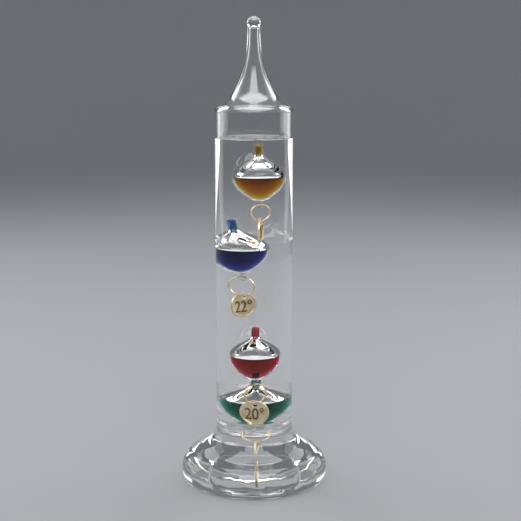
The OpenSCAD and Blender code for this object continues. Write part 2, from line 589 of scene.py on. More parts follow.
class Lathe:
    """A Geometry Nodes tree that turns an outline about Z, closes it and dresses each of its zones."""

    def __init__(self, zones: int) -> None:
        """Builds the tree.

        Args:
            zones: How many zones it dresses.
        """
        tree = bpy.data.node_groups.new(f"lathe_{zones}", "GeometryNodeTree")
        self.tree = tree
        tree.interface.new_socket("Outline", in_out="INPUT", socket_type="NodeSocketGeometry")
        self.segments = self.socket("Segments", "NodeSocketInt")
        self.finishes = [self.socket(f"Finish {k}", "NodeSocketMaterial") for k in range(zones)]
        tree.interface.new_socket("Geometry", in_out="OUTPUT", socket_type="NodeSocketGeometry")
        given = add(tree, "NodeGroupInput")
        surface = self.turned(given)
        for k in range(zones):
            zone = add(tree, "GeometryNodeInputNamedAttribute", {"Name": "zone"}, data_type="INT")
            here = add(
                tree,
                "FunctionNodeCompare",
                {2: zone.outputs["Attribute"], 3: k},
                data_type="INT",
                operation="EQUAL",
            )
            finish = given.outputs[f"Finish {k}"]
            dressed = add(
                tree,
                "GeometryNodeSetMaterial",
                {"Geometry": surface, "Selection": here.outputs["Result"], "Material": finish},
            )
            surface = dressed.outputs["Geometry"]
        real = add(tree, "GeometryNodeRealizeInstances", {"Geometry": surface})
        add(tree, "NodeGroupOutput", {"Geometry": real.outputs["Geometry"]})

    def socket(self, name: str, kind: str) -> str:
        """Adds an input to the tree.

        Args:
            name: Its name.
            kind: Its socket type.

        Returns:
            The identifier that a modifier sets it by.
        """
        return self.tree.interface.new_socket(name, in_out="INPUT", socket_type=kind).identifier

    def sampled(
        self, outline: bpy.types.NodeSocket, value: Any, index: Any, kind: str
    ) -> bpy.types.NodeSocket:
        """Looks up a value at one of the outline's points.

        Args:
            outline: The outline.
            value: What is looked up.
            index: Which point it is looked up at.
            kind: The value's type.

        Returns:
            The value.
        """
        node = add(
            self.tree,
            "GeometryNodeSampleIndex",
            {"Geometry": outline, "Value": value, "Index": index},
            data_type=kind,
            domain="POINT",
        )
        return node.outputs[0]

    def turned(self, given: bpy.types.Node) -> bpy.types.NodeSocket:
        """Lays a grid along the outline and round the axis.

        Args:
            given: The tree's inputs.

        Returns:
            The closed surface, each face with its zone.
        """
        tree = self.tree
        outline = given.outputs["Outline"]
        size = add(tree, "GeometryNodeAttributeDomainSize", {0: outline}, component="MESH")
        count = size.outputs["Point Count"]
        columns = maths(tree, "ADD", given.outputs["Segments"], 1.0)
        grid = add(
            tree,
            "GeometryNodeMeshGrid",
            {"Size X": 1.0, "Size Y": 1.0, "Vertices X": count, "Vertices Y": columns},
        )
        place = add(tree, "GeometryNodeInputPosition").outputs[0]
        cell = add(tree, "ShaderNodeSeparateXYZ", {0: place})
        along, round_axis = (maths(tree, "ADD", cell.outputs[axis], 0.5) for axis in ("X", "Y"))
        row = maths(tree, "MULTIPLY", along, maths(tree, "SUBTRACT", count, 1.0))
        angle = maths(tree, "MULTIPLY", round_axis, math.tau)
        zone = add(tree, "GeometryNodeInputNamedAttribute", {"Name": "zone"}, data_type="INT")
        here = self.sampled(outline, zone.outputs["Attribute"], maths(tree, "FLOOR", row), "INT")
        marked = add(
            tree,
            "GeometryNodeStoreNamedAttribute",
            {"Geometry": grid.outputs["Mesh"], "Name": "zone", "Value": here},
            data_type="INT",
            domain="FACE",
        )
        at = self.sampled(outline, place, maths(tree, "ROUND", row), "FLOAT_VECTOR")
        point = add(tree, "ShaderNodeSeparateXYZ", {0: at})
        x = maths(tree, "MULTIPLY", point.outputs["X"], maths(tree, "COSINE", angle))
        y = maths(tree, "MULTIPLY", point.outputs["X"], maths(tree, "SINE", angle))
        swung = add(tree, "ShaderNodeCombineXYZ", {"X": x, "Y": y, "Z": point.outputs["Z"]})
        shaped = add(
            tree, "GeometryNodeSetPosition", {"Geometry": marked.outputs[0], "Position": swung.outputs[0]}
        )
        closed = add(
            tree, "GeometryNodeMergeByDistance", {"Geometry": shaped.outputs[0], "Distance": WELD}
        )
        return add(tree, "GeometryNodeSetShadeSmooth", {"Geometry": closed.outputs[0]}).outputs[0]

    def turn(
        self, name: str, outline: Outline, finishes: Sequence[bpy.types.Material], segments: int
    ) -> bpy.types.Mesh:
        """Turns an outline into a closed mesh.

        Args:
            name: The mesh's name.
            outline: Half of the shape, from axis to axis.
            finishes: The material of each zone, in the zones' order.
            segments: How many faces go round it.

        Returns:
            The mesh, in metres, its faces pointing outwards.
        """
        path = bpy.data.meshes.new(f"{name}_outline")
        edges = [(i, i + 1) for i in range(len(outline.points) - 1)]
        path.from_pydata([(x * MM, 0, z * MM) for x, z in outline.points], edges, [])
        path.attributes.new("zone", "INT", "POINT").data.foreach_set("value", outline.zones)
        values = {self.segments: segments, **dict(zip(self.finishes, finishes))}
        return run_tree(name, path, self.tree, values)


class WireRing:
    """A Geometry Nodes tree that bends wire into an open, slightly sprung ring."""

    def __init__(self) -> None:
        """Builds the tree."""
        tree = bpy.data.node_groups.new("wire_ring", "GeometryNodeTree")
        self.tree = tree
        inputs = {"Radius": "NodeSocketFloat", "Wire": "NodeSocketFloat", "Gap": "NodeSocketFloat"}
        inputs |= {"Spring": "NodeSocketFloat", "Finish": "NodeSocketMaterial"}
        tree.interface.new_socket("Geometry", in_out="INPUT", socket_type="NodeSocketGeometry")
        self.ids = {
            name: tree.interface.new_socket(name, in_out="INPUT", socket_type=kind).identifier
            for name, kind in inputs.items()
        }
        tree.interface.new_socket("Geometry", in_out="OUTPUT", socket_type="NodeSocketGeometry")
        given = add(tree, "NodeGroupInput")
        bend = add(
            tree,
            "GeometryNodeCurveArc",
            {
                "Resolution": WIRE_STEPS,
                "Radius": given.outputs["Radius"],
                "Start Angle": maths(tree, "DIVIDE", given.outputs["Gap"], 2.0),
                "Sweep Angle": maths(tree, "SUBTRACT", math.tau, given.outputs["Gap"]),
            },
            mode="RADIUS",
        )
        along = add(tree, "GeometryNodeSplineParameter").outputs["Factor"]
        end = maths(tree, "MULTIPLY", maths(tree, "SUBTRACT", along, 0.5), 2.0)
        lift = maths(tree, "MULTIPLY", maths(tree, "POWER", end, SPRING_POWER), given.outputs["Spring"])
        offset = add(tree, "ShaderNodeCombineXYZ", {"Z": lift})
        sprung = add(
            tree, "GeometryNodeSetPosition", {"Geometry": bend.outputs[0], "Offset": offset.outputs[0]}
        )
        section = add(
            tree,
            "GeometryNodeCurvePrimitiveCircle",
            {"Resolution": WIRE_SIDES, "Radius": maths(tree, "DIVIDE", given.outputs["Wire"], 2.0)},
        )
        drawn = add(
            tree,
            "GeometryNodeCurveToMesh",
            {"Curve": sprung.outputs[0], "Profile Curve": section.outputs[0], "Fill Caps": True},
        )
        smooth = add(tree, "GeometryNodeSetShadeSmooth", {"Geometry": drawn.outputs[0]})
        dressed = add(
            tree,
            "GeometryNodeSetMaterial",
            {"Geometry": smooth.outputs[0], "Material": given.outputs["Finish"]},
        )
        real = add(tree, "GeometryNodeRealizeInstances", {"Geometry": dressed.outputs[0]})
        add(tree, "NodeGroupOutput", {"Geometry": real.outputs[0]})

    def bend(
        self, name: str, radius: float, wire: float, gap: float, spring: float, finish: bpy.types.Material
    ) -> bpy.types.Mesh:
        """Bends one ring, flat about its own middle, with its gap on the X side.

        Args:
            name: The mesh's name.
            radius: From the ring's middle to the middle of its wire, in millimetres.
            wire: The wire's diameter, in millimetres.
            gap: The gap between its ends, in degrees.
            spring: How far its ends stand apart sideways, in millimetres.
            finish: Its material.

        Returns:
            The mesh, in metres.
        """
        chosen = {
            "Radius": radius * MM,
            "Wire": wire * MM,
            "Gap": math.radians(gap),
            "Spring": spring / 2 * MM,
            "Finish": finish,
        }
        values = {self.ids[k]: v for k, v in chosen.items()}
        return run_tree(name, bpy.data.meshes.new(f"{name}_start"), self.tree, values)


def run_tree(
    name: str, start: bpy.types.Mesh, tree: bpy.types.NodeTree, values: dict[str, Any]
) -> bpy.types.Mesh:
    """Runs a Geometry Nodes tree on a mesh and keeps the result as a plain mesh.

    Args:
        name: The result's name.
        start: The mesh that it starts from, which is used up.
        tree: The tree.
        values: The tree's inputs, by socket identifier.

    Returns:
        The result, its faces pointing outwards.
    """
    holder = bpy.data.objects.new(f"{name}_holder", start)
    bpy.context.scene.collection.objects.link(holder)
    modifier = holder.modifiers.new("shape", "NODES")
    modifier.node_group = tree
    for socket, value in values.items():
        modifier[socket] = value
    made = bpy.data.meshes.new_from_object(holder.evaluated_get(bpy.context.evaluated_depsgraph_get()))
    made.name = name
    holder.modifiers.remove(modifier)
    bpy.data.objects.remove(holder)
    bpy.data.meshes.remove(start)
    face_outwards(made)
    return made


def face_outwards(mesh: bpy.types.Mesh, corner: float = 38.0) -> None:
    """Turns a closed mesh's faces round if they point inwards, and marks its real corners sharp.

    Args:
        mesh: The mesh to change.
        corner: The least angle of a real corner, in degrees.
    """
    shape = bmesh.new()
    shape.from_mesh(mesh)
    if shape.calc_volume(signed=True) < 0:
        bmesh.ops.reverse_faces(shape, faces=shape.faces)
    shape.to_mesh(mesh)
    shape.free()
    mesh.set_sharp_from_angle(angle=math.radians(corner))


def combine(mesh: bpy.types.Mesh, other: bpy.types.Mesh, operation: str) -> bpy.types.Mesh:
    """Joins two closed meshes into one, or cuts one out of the other.

    Args:
        mesh: The first mesh, whose materials the result keeps.
        other: The second mesh. Both are used up.
        operation: UNION or DIFFERENCE.

    Returns:
        The new mesh.
    """
    base = bpy.data.objects.new("base", mesh)
    tool = bpy.data.objects.new("tool", other)
    for o in (base, tool):
        bpy.context.scene.collection.objects.link(o)
    join = base.modifiers.new("join", "BOOLEAN")
    join.operation = operation
    join.solver = "EXACT"
    join.object = tool
    made = bpy.data.meshes.new_from_object(base.evaluated_get(bpy.context.evaluated_depsgraph_get()))
    base.modifiers.remove(join)
    for o in (base, tool):
        bpy.data.objects.remove(o)
    for m in (mesh, other):
        bpy.data.meshes.remove(m)
    return made


def dress_like(mesh: bpy.types.Mesh, like: bpy.types.Mesh, finish: bpy.types.Material) -> None:
    """Gives a mesh another one's material slots, with all its faces in one of them.

    Args:
        mesh: The mesh to dress.
        like: The mesh whose slots it gets.
        finish: The material that its faces show.
    """
    mesh.materials.clear()
    for material in like.materials:
        mesh.materials.append(material)
    index = like.materials.find(finish.name)
    for face in mesh.polygons:
        face.material_index = index


def piece(name: str, mesh: bpy.types.Mesh, body: str, slot: str, *nodes: str) -> bpy.types.Object:
    """Puts a finished mesh in the scene as one of the object's pieces.

    Args:
        name: The piece's name.
        mesh: Its mesh, already where it belongs.
        body: The body that it moves with.
        slot: The record's material slot. It is not used.
        nodes: The CAD nodes that it stands for.

    Returns:
        The piece.
    """
    mesh.name = name
    made = bpy.data.objects.new(name, mesh)
    bpy.context.scene.collection.objects.link(made)
    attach(made, body)
    if nodes:
        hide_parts(*nodes)
    LOG.info("%s: %d faces, on %s", name, len(mesh.polygons), body)
    return made


# ---------------------------------------------------------------- the glass body and its filling


@dataclass
class GlassBody:
    """The tube and the foot that it is fused to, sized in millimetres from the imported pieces."""

    lathe: Lathe
    drawn: Sequence[bpy.types.Material]
    moulded: Sequence[bpy.types.Material]
    wall: float = 1.37
    shoulder_drop: float = 35.1
    tip_radius: float = 2.6
    stem_radius: float = 2.35
    cup_round: float = 2.5
    creep: float = 0.9
    bead: float = 0.35

    def __post_init__(self) -> None:
        """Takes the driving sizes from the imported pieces."""
        low, high = (Vector(c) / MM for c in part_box("glass_tube"))
        self.seam, self.top, self.radius = low.z, high.z, high.x
        self.bore = self.radius - self.wall
        self.foot_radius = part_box("glass_foot")[1][0] / MM
        self.floor, self.level = (c[2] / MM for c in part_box("filling_liquid"))
        self.shoulder = self.top - self.shoulder_drop
        self.shore = self.level + self.creep

    def up(self, radius: float, height: float) -> Point:
        """Places a point of the tube's top.

        Args:
            radius: Its distance from the axis.
            height: Its height above the shoulder.

        Returns:
            The point, in millimetres.
        """
        return radius, self.shoulder + height

    def side(self) -> list[Point]:
        """Draws the tube's outside from the seam up, with the two ripples that fusing it to the foot left.

        Returns:
            The points, in millimetres.
        """
        points = []
        for radius, z in line((self.radius, self.seam), (self.radius, self.seam + 8), 40):
            ripple = sum(
                depth * math.exp(-(((z - self.seam - height) / width) ** 2))
                for height, width, depth in FUSING_RIPPLES
            )
            points.append((radius - ripple, z))
        return points + line((self.radius, self.seam + 8), self.up(self.radius, 0), 30)

    def fusing_bead(self, way: int) -> list[Point]:
        """Draws half of the bead that fusing left inside the seam.

        Args:
            way: 1 for the half above the seam, or -1 for the half below it.

        Returns:
            The points, in millimetres.
        """
        return curve(
            (self.bore - self.bead, self.seam),
            (self.bore - self.bead, self.seam + way * 0.6),
            (self.bore, self.seam + way * 0.8),
            (self.bore, self.seam + way * 2),
            8,
        )

    def tube(self) -> Outline:
        """Draws the tube, from its tip down the outside, across the seam and up the inside.

        Returns:
            The outline.
        """
        up = self.up
        start = -math.degrees(math.acos(self.stem_radius / self.tip_radius))
        outside = (
            self.side()
            + curve(up(self.radius, 0), up(self.radius, 1.7), up(13.7, 2.4), up(11.9, 3.4))
            + curve(up(11.9, 3.4), up(8.6, 5.3), up(8.2, 6.6), up(7, 9.1))
            + curve(up(7, 9.1), up(4.9, 13.1), up(2.9, 18.1), up(2.5, 27.1), 20)
            + line(up(2.5, 27.1), up(self.stem_radius, 30.5), 6)
            + arc((0, self.top - self.tip_radius), self.tip_radius, start, 90)
        )
        wet = self.fusing_bead(1) + line((self.bore, self.seam + 2), (self.bore, self.shore), 40)
        dry = (
            line((self.bore, self.shore), up(self.bore, -0.5), 6)
            + curve(up(self.bore, -0.5), up(self.bore, 0.7), up(12.7, 1.2), up(11.2, 2.05))
            + curve(up(11.2, 2.05), up(7.9, 4), up(7.2, 5.3), up(5.9, 8.1))
            + curve(up(5.9, 8.1), up(3.85, 12.4), up(1.75, 18.1), up(1.45, 27.1), 20)
            + line(up(1.45, 27.1), up(1.4, 30.3), 4)
            + arc(up(0, 30.3), 1.4, 0, 90, 8)
        )
        return (
            Outline()
            .run(outside[:0:-1], Zone.AIR)
            .run([(self.radius, self.seam)], Zone.FUSED)
            .run(wet, Zone.FILLING)
            .run(dry, Zone.AIR)
        )

    def foot(self) -> Outline:
        """Draws the foot, from the middle of its underside over the rim to the seam, and down into its cup.

        Returns:
            The outline.
        """
        edge = self.foot_radius
        ground = edge - 2.1
        corner = (self.bore - self.cup_round, self.floor + self.cup_round)
        outside = (
            curve(
                (self.radius, self.seam), (self.radius + 0.23, 17.9), (18.2, 13.6), (edge - 4.3, 11.5), 26
            )
            + curve((edge - 4.3, 11.5), (edge - 2.3, 10.8), (edge, 7.8), (edge, 4.4), 18)
            + curve((edge, 4.4), (edge, 2.4), (edge - 0.6, 0.6), (ground, 0), 14)
            + [(ground, 0)]
            + curve((ground - 4.5, 0), (ground - 5.2, 0), (ground - 5.5, 0.5), (ground - 6.5, 0.5), 8)
            + line((ground - 6.5, 0.5), (0, 0.5), 4)
            + [(0, 0.5)]
        )
        cup = line((self.bore, self.seam - 2), (self.bore, corner[1]), 10)
        cup += arc(corner, self.cup_round, 0, -90)
        return (
            Outline()
            .run(outside[:0:-1], Zone.AIR)
            .run([(self.radius, self.seam)], Zone.FUSED)
            .run(self.fusing_bead(-1) + cup + [(0, self.floor)], Zone.FILLING)
        )

    def make(self) -> None:
        """Turns and dresses both pieces."""
        tube = self.lathe.turn("tube", self.tube(), self.drawn, BODY_SEGMENTS)
        foot = self.lathe.turn("foot", self.foot(), self.moulded, BODY_SEGMENTS)
        piece("drawn_glass_tube", tube, "root", "clear_glass", "glass_tube")
        piece("moulded_glass_foot", foot, "root", "clear_glass", "glass_foot")


@dataclass
class Filling:
    """The clear liquid that the floats hang in, with the meniscus that creeps up the tube's wall."""

    body: GlassBody
    lathe: Lathe
    finishes: Sequence[bpy.types.Material]
    skin: float = 0.02
    reach: float = 2.2
    bead_width: float = 0.9
    bead_ends: float = 2.4

    def make(self) -> None:
        """Turns and dresses the liquid."""
        body = self.body
        bore = body.bore - self.skin
        corner = (bore - body.cup_round, body.floor + self.skin + body.cup_round)
        sides = [(0.0, body.floor + self.skin)] + arc(corner, body.cup_round, -90, 0)
        low, high = (bore, body.seam - self.bead_ends), (bore, body.seam + self.bead_ends)
        bead = [
            (bore - body.bead * math.exp(-(((z - body.seam) / self.bead_width) ** 2)), z)
            for _, z in line(low, high, 16)
        ]
        sides += line((bore, corner[1] + 1), low, 6) + bead + line(high, (bore, body.shore), 30)
        radii = [bore * (1 - (i / 28) ** 1.8) for i in range(29)]
        top = [(r, body.level + body.creep * math.exp((r - bore) / self.reach)) for r in radii]
        outline = Outline().run(sides, LiquidZone.WALL).run(top, LiquidZone.OPEN)
        mesh = self.lathe.turn("filling", outline, self.finishes, FILLING_SEGMENTS)
        piece("clear_filling", mesh, "root", "clear_liquid", "filling_liquid")


# ---------------------------------------------------------------- the floats


@dataclass(frozen=True)
class FloatSizes:
    """A float's sizes in millimetres. Heights are along its own axis, from its widest circle."""

    bulb_radius: float = 8.2
    wall: float = 0.35
    neck_radius: float = 1.5
    bore_radius: float = 1.15
    bulb_foot: float = -8.9
    neck_foot: float = 8.4
    neck_top: float = 12.6
    eye: float = -10.1
    eye_major: float = 1.05
    eye_minor: float = 0.45
    wire_drop: float = 0.15
    wire: float = 0.56
    ring_gap_deg: float = 3.0
    ring_spring: float = 0.16
    seal_gap: float = 0.3
    seal_flare: float = 0.8
    skin: float = 0.02
    creep: float = 0.5

    def outside(self) -> list[Point]:
        """Draws the bulb's outside, from its lowest point to the foot of its neck.

        Returns:
            The points, in millimetres.
        """
        r = self.bulb_radius
        return (
            curve((0, self.bulb_foot), (1.5, -8.8), (2.9, -8.2), (4.4, -6.9))
            + curve((4.4, -6.9), (6.4, -5.1), (r, -2.9), (r, 0))
            + curve((r, 0), (r, 2.3), (6.9, 3.9), (4.9, 5.5))
            + curve(
                (4.9, 5.5), (3.4, 6.7), (self.neck_radius + 0.5, 7.3), (self.neck_radius, self.neck_foot)
            )
        )

    def inside(self, depth: float) -> list[Point]:
        """Draws the bulb's inside, from its lowest point up.

        Args:
            depth: How far it lies from the outside.

        Returns:
            The points, in millimetres.
        """
        return [(0.0, self.bulb_foot + depth)] + inwards(self.outside(), depth, self.bore_radius)


@dataclass(frozen=True)
class TagSizes:
    """A tag's sizes in millimetres, with its middle at 0."""

    radius: float = 4.8
    sheet: float = 0.45
    rim: float = 0.70
    rim_width: float = 0.5
    hole_radius: float = 0.9
    hole_inset: float = 1.65
    collar: float = 0.65
    collar_width: float = 0.35
    sag: float = 0.2
    numeral_size: float = 6.5
    numeral_narrowing: float = 0.72
    numeral_drop: float = 0.85
    numeral_swell: float = 0.02
    numeral_bevel: float = 0.03
    relief: float = 0.1

    def disc(self) -> Outline:
        """Draws the struck disc with its rolled rim.

        Returns:
            The outline, from the middle of its front to the middle of its back.
        """
        half, thick, inner = self.sheet / 2, self.rim / 2, self.radius - self.rim_width
        roll = arc((self.radius - 0.2, thick - 0.2), 0.2, 90, 0, 5)
        front = [(0.0, half), (inner - 0.3, half), (inner - 0.1, half + 0.02), (inner, thick - 0.03)]
        front += [(inner + 0.08, thick)] + roll
        return Outline().run(front + [(r, -z) for r, z in reversed(front)])

    def collar_ring(self) -> Outline:
        """Draws the pad that stiffens the hole.

        Returns:
            The outline.
        """
        r, half = self.hole_radius + self.collar_width, self.collar / 2
        front = [(0.0, half), (r - 0.12, half), (r - 0.03, half - 0.04), (r, half - 0.12)]
        return Outline().run(front + [(x, -z) for x, z in reversed(front)])

    def punch(self) -> Outline:
        """Draws the punch that cuts the hole and breaks its edges.

        Returns:
            The outline.
        """
        r, half = self.hole_radius, self.collar / 2
        front = [(0.0, 1.0), (r + 0.16, 1.0), (r + 0.16, half + 0.06), (r, half - 0.1)]
        return Outline().run(front + [(x, -z) for x, z in reversed(front)])


@dataclass(frozen=True)
class Dressing:
    """The materials that a float is made of."""

    glass: Sequence[bpy.types.Material]
    dye: bpy.types.Material
    seal: bpy.types.Material
    wire: bpy.types.Material
    stamped: bpy.types.Material
    brown_numeral: bpy.types.Material


@dataclass
class Float:
    """One float with its dye, seal, ring and tag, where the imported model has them."""

    tint: Tint
    number: str
    lathe: Lathe
    plain: Lathe
    bender: WireRing
    dressing: Dressing
    sizes: FloatSizes = field(default_factory=FloatSizes)
    tag_sizes: TagSizes = field(default_factory=TagSizes)

    def __post_init__(self) -> None:
        """Reads the float's axis, its dye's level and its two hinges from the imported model."""
        s = self.sizes
        hinges = {j["name"]: j for j in frame["joints"]}
        swing = hinges[f"{self.name}_ring_swing"]
        self.wire_top = Vector(swing["pos_m"]) / MM
        self.wire_foot = Vector(hinges[f"{self.name}_tag_swing"]["pos_m"]) / MM
        self.wire_along = Vector(swing["axis"]).normalized()
        self.eye_middle = self.wire_top + Vector((0, 0, s.wire_drop))
        low, high = (Vector(c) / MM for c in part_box(f"{self.name}_seal"))
        self.up = ((low + high) / 2 - self.eye_middle).normalized()
        self.middle = self.eye_middle - self.up * s.eye
        self.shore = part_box(f"{self.name}_dye")[1][2] / MM + s.creep

    @property
    def name(self) -> str:
        """The float's colour, as its nodes are named."""
        return self.tint.value

    @property
    def body(self) -> str:
        """The body that the float's glass rides on."""
        return f"{self.name}_float"

    @property
    def stand(self) -> Matrix:
        """Carries a shape from the float's own axis to its place, in metres."""
        tilt = Vector((0, 0, 1)).rotation_difference(self.up).to_matrix().to_4x4()
        return Matrix.Translation(self.middle * MM) @ tilt

    def bulb(self) -> None:
        """Makes the blown bulb with its neck and eye, and parts its inside where the dye wets it."""
        s = self.sizes
        seal_top = s.neck_top - s.seal_gap
        outline = (
            Outline()
            .run(s.outside(), Zone.FILLING)
            .run(line((s.neck_radius, s.neck_foot), (s.neck_radius, s.neck_top - 0.25), 6), Zone.FILLING)
            .run(arc((s.neck_radius - 0.25, s.neck_top - 0.25), 0.25, 0, 90, 5), Zone.FILLING)
            .run([(s.bore_radius, s.neck_top)], Zone.FILLING)
            .run(line((s.bore_radius, seal_top), (s.bore_radius, s.neck_foot), 5), Zone.FUSED)
            .run([(s.bore_radius, s.neck_foot), *reversed(s.inside(s.wall))], Zone.AIR)
        )
        mesh = self.lathe.turn("bulb", outline, self.dressing.glass, BULB_SEGMENTS)
        mesh.transform(self.stand)
        self.wet(mesh)
        for extra in (self.gather(), self.eye()):
            dress_like(extra, mesh, self.dressing.glass[Zone.FILLING.value])
            mesh = combine(mesh, extra, "UNION")
        face_outwards(mesh)
        piece(f"{self.name}_blown_bulb", mesh, self.body, "float_glass", f"{self.name}_bulb")

    def wet(self, mesh: bpy.types.Mesh) -> None:
        """Cuts a bulb's inside at the dye's shore, and dresses what lies under it as wetted glass.

        Args:
            mesh: The bulb's mesh, in its place.
        """
        dry = mesh.materials.find(self.dressing.glass[Zone.AIR.value].name)
        mesh.materials.append(self.dressing.glass[Zone.DYE.value])
        shore = Vector((0, 0, self.shore * MM))
        shape = bmesh.new()
        shape.from_mesh(mesh)
        inner = [f for f in shape.faces if f.material_index == dry]
        edges = {e for f in inner for e in f.edges}
        corners = {v for f in inner for v in f.verts}
        bmesh.ops.bisect_plane(
            shape,
            geom=[*inner, *edges, *corners],
            plane_co=shore,
            plane_no=(0, 0, 1),
            dist=CUT_TOLERANCE,
        )
        for f in shape.faces:
            if f.material_index == dry and f.calc_center_median().z < shore.z:
                f.material_index = len(mesh.materials) - 1
        shape.to_mesh(mesh)
        shape.free()

    def gather(self) -> bpy.types.Mesh:
        """Makes the drop of glass under the bulb that the eye was drawn from.

        Returns:
            The drop's mesh, in its place.
        """
        top = self.sizes.bulb_foot + 0.3
        drop = curve((1.35, top), (0.9, top - 0.35), (0.62, top - 0.5), (0.6, top - 0.9))
        outline = Outline().run([(0, top), *drop, (0, top - 1.0)])
        mesh = self.plain.turn("gather", outline, [self.dressing.seal], SMALL_SEGMENTS)
        mesh.transform(self.stand)
        return mesh

    def eye(self) -> bpy.types.Mesh:
        """Makes the closed glass eye that the ring passes through.

        Returns:
            The eye's mesh, in its place.
        """
        s = self.sizes
        across = self.wire_along.cross(self.up).normalized()
        turn = Matrix((across, self.up, self.wire_along)).transposed().to_4x4()
        mesh = self.bender.bend("eye", s.eye_major, 2 * s.eye_minor, 0.0, 0.0, self.dressing.seal)
        shape = bmesh.new()
        shape.from_mesh(mesh)
        bmesh.ops.delete(shape, geom=[f for f in shape.faces if len(f.verts) > 4], context="FACES_ONLY")
        bmesh.ops.remove_doubles(shape, verts=shape.verts, dist=WELD)
        shape.to_mesh(mesh)
        shape.free()
        mesh.transform(Matrix.Translation(self.eye_middle * MM) @ turn)
        face_outwards(mesh)
        return mesh

    def dye(self) -> None:
        """Makes the dyed liquid, level in the leaning bulb."""
        s = self.sizes
        outline = Outline().run(s.inside(s.wall + s.skin))
        outline.run([(s.bore_radius, s.neck_foot), (0, s.neck_foot)])
        mesh = self.plain.turn("dye", outline, [self.dressing.dye], BULB_SEGMENTS)
        mesh.transform(self.stand)
        shape = bmesh.new()
        shape.from_mesh(mesh)
        shore = Vector((0, 0, self.shore * MM))
        geometry = [*shape.verts, *shape.edges, *shape.faces]
        bmesh.ops.bisect_plane(
            shape,
            geom=geometry,
            plane_co=shore,
            plane_no=(0, 0, 1),
            clear_outer=True,
            dist=CUT_TOLERANCE,
        )
        close_with_meniscus(shape, s.creep * MM)
        shape.to_mesh(mesh)
        shape.free()
        face_outwards(mesh)
        piece(f"{self.name}_dyed_liquid", mesh, self.body, f"{self.name}_liquid", f"{self.name}_dye")

    def seal(self) -> None:
        """Makes the coloured plug in the neck, hollowed at its ends where the resin drew back."""
        s = self.sizes
        r, low, high = s.bore_radius - s.skin, s.neck_foot, s.neck_top - s.seal_gap
        flare = [(x, z) for x, z in s.inside(s.wall + s.skin) if low - s.seal_flare < z < low]
        foot_radius, foot = flare[0]
        near_edge = (foot_radius * 0.8, foot + 0.25)
        hollow = curve((0, foot + 0.55), (foot_radius * 0.5, foot + 0.5), near_edge, flare[0])
        outline = Outline().run(hollow)
        outline.run(flare[1:] + line((r, low), (r, high - 0.7), 10))
        outline.run(curve((r, high - 0.7), (r, high - 0.3), (r * 0.6, high), (0, high)))
        mesh = self.plain.turn("seal", outline, [self.dressing.seal], SMALL_SEGMENTS)
        mesh.transform(self.stand)
        piece(f"{self.name}_neck_seal", mesh, self.body, f"{self.name}_seal", f"{self.name}_seal")

    def ring(self) -> None:
        """Makes the open brass ring that hangs in the eye."""
        s = self.sizes
        drop = self.wire_foot - self.wire_top
        down = drop.normalized()
        radius = drop.length / 2
        mesh = self.bender.bend(
            "ring", radius, s.wire, s.ring_gap_deg, s.ring_spring, self.dressing.wire
        )
        turn = Matrix((self.wire_along, -down, self.wire_along.cross(-down))).transposed().to_4x4()
        mesh.transform(Matrix.Translation((self.wire_top + drop / 2) * MM) @ turn)
        piece(f"{self.name}_jump_ring", mesh, f"{self.name}_ring_body", "brass_wire", f"{self.name}_ring")

    def tag_place(self) -> Matrix:
        """Carries a shape from the tag's own plane to its place. It faces Z there, its hole towards Y.

        Returns:
            The matrix, in metres.
        """
        t = self.tag_sizes
        faces = frame["nodes"][f"{self.name}_tag"].data.polygons
        facing = max(faces, key=lambda f: f.area).normal.copy()
        if facing.y > 0:
            facing.negate()
        upright = Vector((0, 0, 1))
        hang = t.hole_radius - self.sizes.wire / 2 - t.sag + t.radius - t.hole_inset
        turn = Matrix((upright.cross(facing), upright, facing)).transposed().to_4x4()
        return Matrix.Translation((self.wire_foot - upright * hang) * MM) @ turn

    def tag(self) -> None:
        """Makes the stamped tag with its rolled rim, collared hole and raised numerals on both faces."""
        t = self.tag_sizes
        metal = [self.dressing.stamped]
        hole = Matrix.Translation((0, (t.radius - t.hole_inset) * MM, 0))
        mesh = self.plain.turn("disc", t.disc(), metal, TAG_SEGMENTS)
        for outline, operation in ((t.collar_ring(), "UNION"), (t.punch(), "DIFFERENCE")):
            tool = self.plain.turn("tool", outline, metal, HOLE_SEGMENTS)
            tool.transform(hole)
            mesh = combine(mesh, tool, operation)
        place = self.tag_place()
        mesh.transform(place)
        face_outwards(mesh, TAG_CORNER)
        tag_body = f"{self.name}_tag_body"
        piece(f"{self.name}_stamped_tag", mesh, tag_body, "stamped_brass", f"{self.name}_tag")
        for side, turn in (("front", 0), ("back", math.pi)):
            numerals = self.numerals()
            numerals.transform(place @ Matrix.Rotation(turn, 4, "Y"))
            piece(f"{self.name}_numerals_{side}", numerals, tag_body, "stamped_brass")

